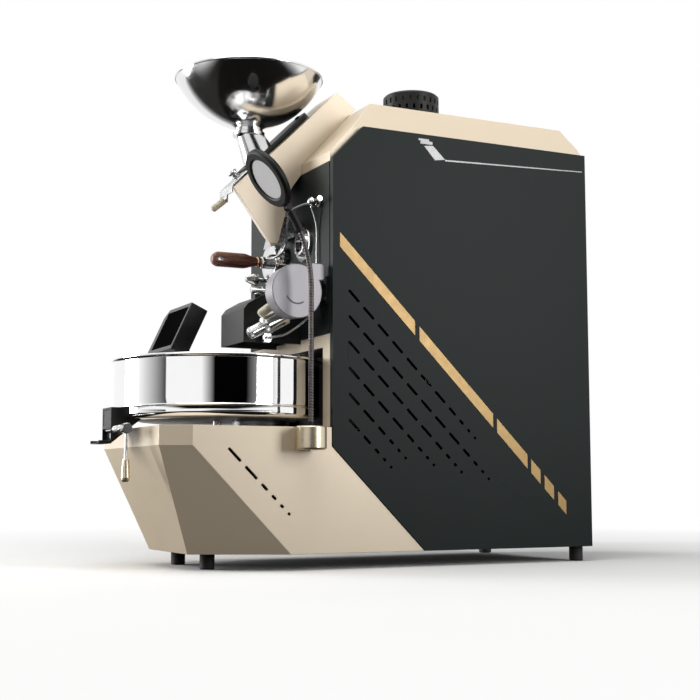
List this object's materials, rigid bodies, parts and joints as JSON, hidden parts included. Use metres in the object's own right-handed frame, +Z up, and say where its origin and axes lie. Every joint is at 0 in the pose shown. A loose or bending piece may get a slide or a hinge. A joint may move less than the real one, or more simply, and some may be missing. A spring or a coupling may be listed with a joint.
{
  "type": "coffee roaster",
  "caption": "Countertop drum coffee roaster with a steel hopper, a round cooling pan on its base, a sample trier, a lamp and a control console.",
  "frame": {"origin": "centre of the bounding box on the plane the feet stand on", "axes": "+Z up; the front with the cooling pan faces -Y; +X is the side with the lamp"},
  "size_m": [0.565, 0.956, 0.957],
  "materials": {
    "champagne_paint": "satin",
    "graphite_paint": "satin",
    "black_paint": "satin",
    "gold_foil": "gloss",
    "polished_steel": "gloss",
    "brushed_steel": "satin",
    "frame_steel": "satin",
    "drum_steel": "matte",
    "motor_paint": "matte",
    "cast_aluminium": "satin",
    "black_plastic": "matte",
    "console_plastic": "gloss",
    "screen_glass": "gloss",
    "sight_pane": "gloss",
    "lamp_lens": "matte",
    "cream_plastic": "gloss",
    "rosewood": "satin",
    "braided_sleeve": "satin",
    "flex_conduit": "satin",
    "foot_rubber": "matte"
  },
  "bodies": {
    "machine": {"feet": "foot_rubber", "chassis": "frame_steel", "base_shell": "champagne_paint", "pan_motors": "motor_paint", "lower_front_panel": "champagne_paint", "pan_recess": "graphite_paint", "right_side_panel": "graphite_paint", "left_side_panel": "graphite_paint", "side_stripes": "gold_foil", "rear_panel": "graphite_paint", "hood": "champagne_paint", "front_plate": "graphite_paint", "inlet_housing": "champagne_paint", "inlet_duct": "brushed_steel", "gate_guide": "black_paint", "hopper": "polished_steel", "hopper_neck": "polished_steel", "sight_glass_ring": "polished_steel", "sight_glass": "sight_pane", "trier_flange": "polished_steel", "actuator_can": "cast_aluminium", "actuator_bracket": "black_paint", "discharge_chute": "black_paint", "probe_fittings": "polished_steel", "probe_cable": "braided_sleeve", "lamp_base": "champagne_paint", "console_arm": "black_paint", "cooling_pan": "polished_steel", "pan_sieve": "brushed_steel", "cooling_duct": "frame_steel", "outlet_box": "black_paint", "drum_bearings": "drum_steel", "drum_motor": "black_paint", "heater": "frame_steel", "chimney_cap": "black_paint", "roast_chamber": "frame_steel", "power_inlet": "black_plastic", "case_screws": "polished_steel"},
    "drum_unit": {"drum": "drum_steel", "drum_gear": "drum_steel"},
    "drive_pinion": {"motor_pinion": "drum_steel"},
    "agitator_unit": {"agitator": "brushed_steel"},
    "cooling_fan": {"cooling_impeller": "frame_steel"},
    "exhaust_fan": {"exhaust_impeller": "frame_steel"},
    "hopper_gate": {"gate_plate": "black_paint", "gate_grip": "cream_plastic"},
    "trier_sleeve": {"trier_collar": "polished_steel"},
    "bean_trier": {"trier_rod": "polished_steel", "trier_handle": "rosewood"},
    "discharge_door": {"door_axle": "polished_steel", "door_flap": "brushed_steel", "door_grip": "cream_plastic"},
    "cooling_outlet": {"outlet_flap": "polished_steel", "outlet_lever": "polished_steel", "outlet_grip": "champagne_paint"},
    "lamp_stem": {"lamp_arm": "flex_conduit"},
    "lamp": {"lamp_head": "black_plastic", "lamp_diffuser": "lamp_lens"},
    "control_console": {"console": "console_plastic", "console_screen": "screen_glass"}
  },
  "joints": [
    {"name": "drum_spin", "type": "hinge", "parent": "machine", "child": "drum_unit", "pos_m": [-0.0005, 0.284, 0.549], "axis": [0, 1, 0], "continuous": true},
    {"name": "drive_spin", "type": "hinge", "parent": "machine", "child": "drive_pinion", "pos_m": [-0.0005, 0.284, 0.633], "axis": [0, 1, 0], "continuous": true},
    {"name": "agitator_spin", "type": "hinge", "parent": "machine", "child": "agitator_unit", "pos_m": [-0.0005, -0.242, 0.329], "axis": [0, 0, 1], "continuous": true},
    {"name": "cooling_fan_spin", "type": "hinge", "parent": "machine", "child": "cooling_fan", "pos_m": [-0.0005, -0.154, 0.129], "axis": [0, 0, 1], "continuous": true},
    {"name": "exhaust_fan_spin", "type": "hinge", "parent": "machine", "child": "exhaust_fan", "pos_m": [-0.0005, 0.183, 0.809], "axis": [0, 0, 1], "continuous": true},
    {"name": "gate_slide", "type": "slide", "parent": "machine", "child": "hopper_gate", "axis": [0, -0.7071, -0.7071], "range_m": [0, 0.052]},
    {"name": "trier_turn", "type": "hinge", "parent": "machine", "child": "trier_sleeve", "pos_m": [-0.0725, -0.114, 0.596], "axis": [0, 1, 0], "range_deg": [-180, 0]},
    {"name": "trier_pull", "type": "slide", "parent": "trier_sleeve", "child": "bean_trier", "axis": [0, -1, 0], "range_m": [0, 0.12]},
    {"name": "door_swing", "type": "hinge", "parent": "machine", "child": "discharge_door", "pos_m": [-0.0005, -0.156, 0.503], "axis": [1, 0, 0], "range_deg": [-70, 0]},
    {"name": "outlet_swing", "type": "hinge", "parent": "machine", "child": "cooling_outlet", "pos_m": [-0.0005, -0.448, 0.251], "axis": [1, 0, 0], "range_deg": [-60, 0]},
    {"name": "lamp_swivel", "type": "hinge", "parent": "machine", "child": "lamp_stem", "pos_m": [0.2255, -0.15, 0.329], "axis": [0, 0, 1], "range_deg": [-30, 60]},
    {"name": "lamp_tilt", "type": "hinge", "parent": "lamp_stem", "child": "lamp", "pos_m": [0.2255, -0.19573, 0.64435], "axis": [1, 0, 0], "range_deg": [-40, 40]},
    {"name": "console_tilt", "type": "hinge", "parent": "machine", "child": "control_console", "pos_m": [-0.1715, -0.242, 0.407], "axis": [1, 0, 0], "range_deg": [-15, 20]}
  ],
  "couplings": [
    {"joint": "drive_spin", "follows": "drum_spin", "ratio": -3.6667}
  ]
}
